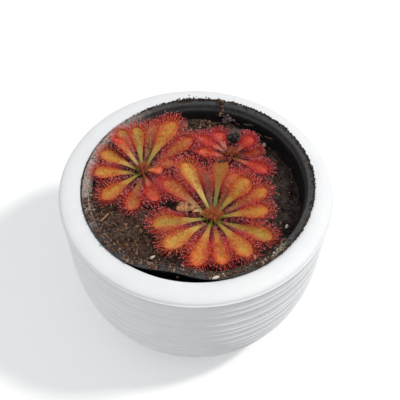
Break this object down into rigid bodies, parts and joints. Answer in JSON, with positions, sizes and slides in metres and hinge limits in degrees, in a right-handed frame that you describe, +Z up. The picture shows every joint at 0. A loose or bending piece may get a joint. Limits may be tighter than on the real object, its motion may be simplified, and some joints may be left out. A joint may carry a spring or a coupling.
{
  "type": "potted sundew",
  "caption": "Carnivorous sundew rosettes with spoon-shaped, dew-tipped leaves, growing in peat in a black nursery pot that stands in a round white ribbed cachepot.",
  "frame": {"origin": "middle of the cachepot's foot, on the surface that it stands on", "axes": "+Z up through the pot's turning axis; -Y is the front, where the largest rosette is"},
  "size_m": [0.1062, 0.1062, 0.0817],
  "materials": {
    "glaze": "matt white ceramic with fine turned ribs",
    "black_plastic": "thin black plastic, satin, dusty with soil at the rim",
    "peat": "damp fibrous peat mix, rough",
    "leaf": "amber to olive living leaf, waxy, with red gland hairs",
    "red_leaf": "red living leaf, waxy, with crimson gland hairs",
    "crown": "reddish furled young leaves",
    "dead_leaf": "dry beige leaf",
    "straw": "pale dry straw and husk"
  },
  "bodies": {
    "root": {"cachepot": "glaze", "nursery_pot": "black_plastic", "soil": "peat", "front_crown": "crown", "front_leaf_01": "leaf", "front_leaf_02": "leaf", "front_leaf_03": "leaf", "front_leaf_04": "leaf", "front_leaf_05": "leaf", "front_leaf_06": "leaf", "front_leaf_07": "leaf", "front_leaf_08": "leaf", "front_leaf_09": "leaf", "front_leaf_10": "leaf", "front_leaf_11": "leaf", "front_leaf_12": "leaf", "front_leaf_13": "leaf", "front_leaf_14": "leaf", "left_crown": "crown", "left_leaf_01": "leaf", "left_leaf_02": "leaf", "left_leaf_03": "leaf", "left_leaf_04": "leaf", "left_leaf_05": "leaf", "left_leaf_06": "leaf", "left_leaf_07": "leaf", "left_leaf_08": "leaf", "left_leaf_09": "leaf", "left_leaf_10": "leaf", "left_leaf_11": "leaf", "left_leaf_12": "leaf", "left_leaf_13": "leaf", "left_leaf_14": "leaf", "back_crown": "crown", "back_leaf_01": "red_leaf", "back_leaf_02": "red_leaf", "back_leaf_03": "red_leaf", "back_leaf_04": "red_leaf", "back_leaf_05": "red_leaf", "back_leaf_06": "red_leaf", "back_leaf_07": "red_leaf", "front_leaf_withered": "dead_leaf", "rim_soil_crumb": "peat", "straw_fibre": "straw", "pale_chip_1": "straw", "pale_chip_2": "straw", "pale_chip_3": "straw", "pale_chip_4": "straw", "pale_chip_5": "straw", "pale_chip_6": "straw"}
  },
  "joints": []
}
